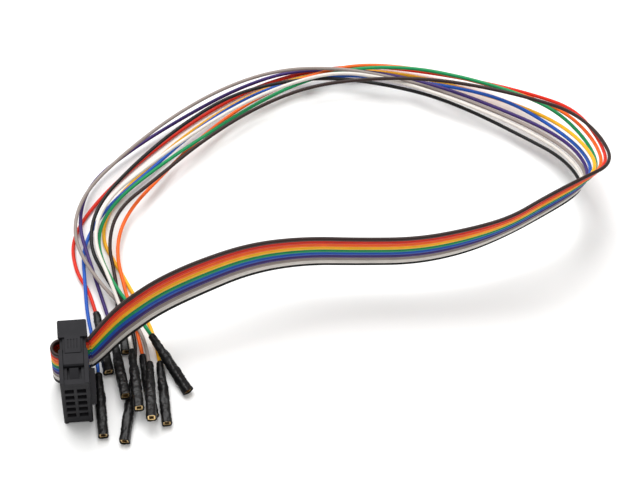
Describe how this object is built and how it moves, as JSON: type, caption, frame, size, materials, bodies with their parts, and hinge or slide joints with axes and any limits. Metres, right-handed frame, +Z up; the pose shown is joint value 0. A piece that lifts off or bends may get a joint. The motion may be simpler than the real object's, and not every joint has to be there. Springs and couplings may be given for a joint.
{
  "type": "logic analyzer probe lead set",
  "caption": "Lead set for a logic analyzer: a ribbon-cable socket connector with a clip-on strain relief, and a flat coloured cable split into single wires with sleeved crimp sockets",
  "frame": {"origin": "centre of the connector's box on the floor, cable left out", "axes": "+Z up along the connector's long side, -Y out of the mating face, +X toward the key"},
  "size_m": [0.1227, 0.0935, 0.0257],
  "materials": {
    "connector_plastic": "satin moulded, charcoal black",
    "contact_metal": "bright strip metal",
    "probe_metal": "bright crimped strip metal",
    "sleeve_black": "shrunk tubing, slightly wrinkled",
    "ribbon_grey": "soft vinyl, ten coloured strands side by side",
    "insulation_brown": "soft vinyl insulation, brown",
    "insulation_red": "soft vinyl insulation, red",
    "insulation_orange": "soft vinyl insulation, orange",
    "insulation_yellow": "soft vinyl insulation, yellow",
    "insulation_green": "soft vinyl insulation, green",
    "insulation_blue": "soft vinyl insulation, blue",
    "insulation_violet": "soft vinyl insulation, violet",
    "insulation_grey": "soft vinyl insulation, grey",
    "insulation_white": "soft vinyl insulation, white",
    "insulation_black": "soft vinyl insulation, black"
  },
  "bodies": {
    "lead_set": {"socket_body": "connector_plastic", "idc_contacts": "contact_metal", "cable_cover": "connector_plastic", "ribbon_fold": "ribbon_grey", "ribbon_cable": "ribbon_grey", "wire_brown": "insulation_brown", "probe_brown": "probe_metal", "sleeve_brown": "sleeve_black", "wire_red": "insulation_red", "probe_red": "probe_metal", "sleeve_red": "sleeve_black", "wire_orange": "insulation_orange", "probe_orange": "probe_metal", "sleeve_orange": "sleeve_black", "wire_yellow": "insulation_yellow", "probe_yellow": "probe_metal", "sleeve_yellow": "sleeve_black", "wire_green": "insulation_green", "probe_green": "probe_metal", "sleeve_green": "sleeve_black", "wire_blue": "insulation_blue", "probe_blue": "probe_metal", "sleeve_blue": "sleeve_black", "wire_violet": "insulation_violet", "probe_violet": "probe_metal", "sleeve_violet": "sleeve_black", "wire_grey": "insulation_grey", "probe_grey": "probe_metal", "sleeve_grey": "sleeve_black", "wire_white": "insulation_white", "probe_white": "probe_metal", "sleeve_white": "sleeve_black", "wire_black": "insulation_black", "probe_black": "probe_metal", "sleeve_black": "sleeve_black"},
    "clip": {"strain_relief": "connector_plastic"}
  },
  "joints": [
    {"name": "strain_relief_lift", "type": "slide", "parent": "lead_set", "child": "clip", "axis": [0, 1, 0], "range_m": [0, 0.007]}
  ]
}
